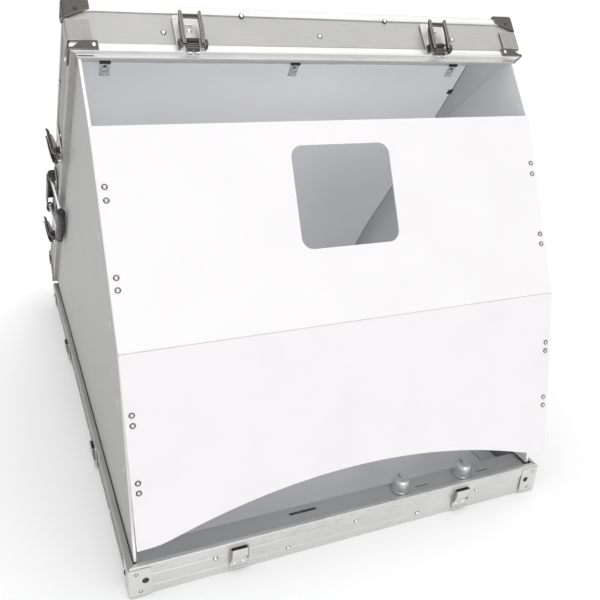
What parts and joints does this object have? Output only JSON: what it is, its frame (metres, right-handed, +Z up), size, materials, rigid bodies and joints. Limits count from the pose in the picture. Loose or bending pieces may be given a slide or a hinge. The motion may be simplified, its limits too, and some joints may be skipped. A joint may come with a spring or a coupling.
{
  "type": "portable photo light box",
  "caption": "Aluminium carrying case that opens into a white light enclosure, with a leaning lid, side walls, a bent front panel with a camera window, latches, a handle and dimmer knobs.",
  "frame": {"origin": "centre of the base's flat underside", "axes": "+X to the right seen from the front, +Y to the back where the hinge is, +Z up; the control strip and the front panel face -Y"},
  "size_m": [0.4647, 0.7001, 0.4874],
  "materials": {
    "rail": "satin anodised faces with bright bands along the edges",
    "cover_sheet": "satin sheet",
    "corner_plate": "brushed, bright edge",
    "corner_protector": "dark, finely textured",
    "bright_steel": "polished",
    "latch": "dark nickel",
    "handle_bracket": "satin",
    "grip": "black, soft sheen",
    "black_plastic": "matt black",
    "knob": "knurled side, turned top",
    "control_strip": "matt mid grey",
    "internal_metal": "plain",
    "circuit_board": "solder mask",
    "side_wall": "matt white board",
    "front_panel": "matt white board, faint sheen",
    "backdrop": "matt white sheet",
    "light_bar": "bright channel with a white diffuser"
  },
  "bodies": {
    "base": {"base_floor": "cover_sheet", "base_rail_front": "rail", "base_rail_right": "rail", "base_rail_rear": "rail", "base_rail_left": "rail", "base_corner_front_left": "corner_plate", "base_corner_front_right": "corner_plate", "base_corner_rear_right": "corner_plate", "base_corner_rear_left": "corner_plate", "striker_front_left": "bright_steel", "striker_front_right": "bright_steel", "striker_side_front": "bright_steel", "striker_side_rear": "bright_steel", "control_panel": "control_strip", "dimmer_pot_left": "internal_metal", "dimmer_pot_right": "internal_metal", "led_driver": "circuit_board", "power_inlet": "black_plastic", "hinge_leaf_base": "rail", "hinge_pin": "bright_steel", "side_panel_left": "side_wall", "side_panel_right": "side_wall", "background_sheet": "backdrop"},
    "lid": {"lid_panel": "cover_sheet", "lid_rail_front": "rail", "lid_rail_right": "rail", "lid_rail_rear": "rail", "lid_rail_left": "rail", "lid_corner_front_left": "corner_protector", "lid_corner_front_right": "corner_protector", "lid_corner_rear_right": "corner_protector", "lid_corner_rear_left": "corner_protector", "lid_protector_front_left": "corner_protector", "lid_protector_front_right": "corner_protector", "lid_protector_rear_right": "corner_protector", "lid_protector_rear_left": "corner_protector", "hinge_leaf_lid": "rail", "led_bar": "light_bar", "sheet_clip_left": "bright_steel", "sheet_clip_middle": "bright_steel", "sheet_clip_right": "bright_steel", "sheet_edge_clip": "black_plastic", "handle_plate": "handle_bracket", "latch_plate_front_left": "bright_steel", "latch_plate_front_right": "bright_steel", "latch_plate_side_front": "bright_steel", "latch_plate_side_rear": "bright_steel"},
    "latch_lever_front_left": {"latch_lever_front_left": "latch"},
    "latch_claw_front_left": {"latch_claw_front_left": "latch"},
    "latch_lever_front_right": {"latch_lever_front_right": "latch"},
    "latch_claw_front_right": {"latch_claw_front_right": "latch"},
    "latch_lever_side_front": {"latch_lever_side_front": "latch"},
    "latch_claw_side_front": {"latch_claw_side_front": "latch"},
    "latch_lever_side_rear": {"latch_lever_side_rear": "latch"},
    "latch_claw_side_rear": {"latch_claw_side_rear": "latch"},
    "handle": {"handle_grip": "grip"},
    "knob_left": {"dimmer_knob_left": "knob"},
    "knob_right": {"dimmer_knob_right": "knob"},
    "front_lower": {"front_panel_lower": "front_panel"},
    "front_upper": {"front_panel_upper": "front_panel"}
  },
  "joints": [
    {"name": "lid_open", "type": "hinge", "parent": "base", "child": "lid", "pos_m": [0, 0.332, 0.0345], "axis": [-1, 0, 0], "range_deg": [0, 56], "deforming": ["background_sheet"]},
    {"name": "front_pull", "type": "slide", "parent": "base", "child": "front_lower", "axis": [0, -1, 0], "range_m": [0, 0.06]},
    {"name": "front_fold", "type": "hinge", "parent": "front_lower", "child": "front_upper", "pos_m": [0, -0.301, 0.2327], "axis": [1, 0, 0], "range_deg": [0, 185]},
    {"name": "latch_front_left", "type": "hinge", "parent": "lid", "child": "latch_lever_front_left", "pos_m": [-0.124, -0.18367, 0.45599], "axis": [1, 0, 0], "range_deg": [-5, 85]},
    {"name": "claw_front_left", "type": "hinge", "parent": "latch_lever_front_left", "child": "latch_claw_front_left", "pos_m": [-0.124, -0.18, 0.45859], "axis": [1, 0, 0], "range_deg": [-85, 5]},
    {"name": "latch_front_right", "type": "hinge", "parent": "lid", "child": "latch_lever_front_right", "pos_m": [0.124, -0.18367, 0.45599], "axis": [1, 0, 0], "range_deg": [-5, 85]},
    {"name": "claw_front_right", "type": "hinge", "parent": "latch_lever_front_right", "child": "latch_claw_front_right", "pos_m": [0.124, -0.18, 0.45859], "axis": [1, 0, 0], "range_deg": [-85, 5]},
    {"name": "latch_side_front", "type": "hinge", "parent": "lid", "child": "latch_lever_side_front", "pos_m": [-0.231, -0.02374, 0.32695], "axis": [0, -0.7782, 0.628], "range_deg": [-5, 85]},
    {"name": "claw_side_front", "type": "hinge", "parent": "latch_lever_side_front", "child": "latch_claw_side_front", "pos_m": [-0.22977, -0.02103, 0.33031], "axis": [0, -0.7782, 0.628], "range_deg": [-85, 5]},
    {"name": "latch_side_rear", "type": "hinge", "parent": "lid", "child": "latch_lever_side_rear", "pos_m": [-0.231, 0.17315, 0.16807], "axis": [0, -0.7782, 0.628], "range_deg": [-5, 85]},
    {"name": "claw_side_rear", "type": "hinge", "parent": "latch_lever_side_rear", "child": "latch_claw_side_rear", "pos_m": [-0.22977, 0.17587, 0.17144], "axis": [0, -0.7782, 0.628], "range_deg": [-85, 5]},
    {"name": "handle_swing", "type": "hinge", "parent": "lid", "child": "handle", "pos_m": [-0.231, 0.10692, 0.25081], "axis": [0, 0.7782, -0.628], "range_deg": [0, 110]},
    {"name": "dimmer_left", "type": "hinge", "parent": "base", "child": "knob_left", "pos_m": [0.06, -0.3094, 0.03], "axis": [0, 0, 1], "range_deg": [-135, 135]},
    {"name": "dimmer_right", "type": "hinge", "parent": "base", "child": "knob_right", "pos_m": [0.1375, -0.3094, 0.03], "axis": [0, 0, 1], "range_deg": [-135, 135]}
  ],
  "couplings": [
    {"joint": "claw_front_left", "follows": "latch_front_left", "ratio": -1},
    {"joint": "claw_front_right", "follows": "latch_front_right", "ratio": -1},
    {"joint": "claw_side_front", "follows": "latch_side_front", "ratio": -1},
    {"joint": "claw_side_rear", "follows": "latch_side_rear", "ratio": -1}
  ]
}
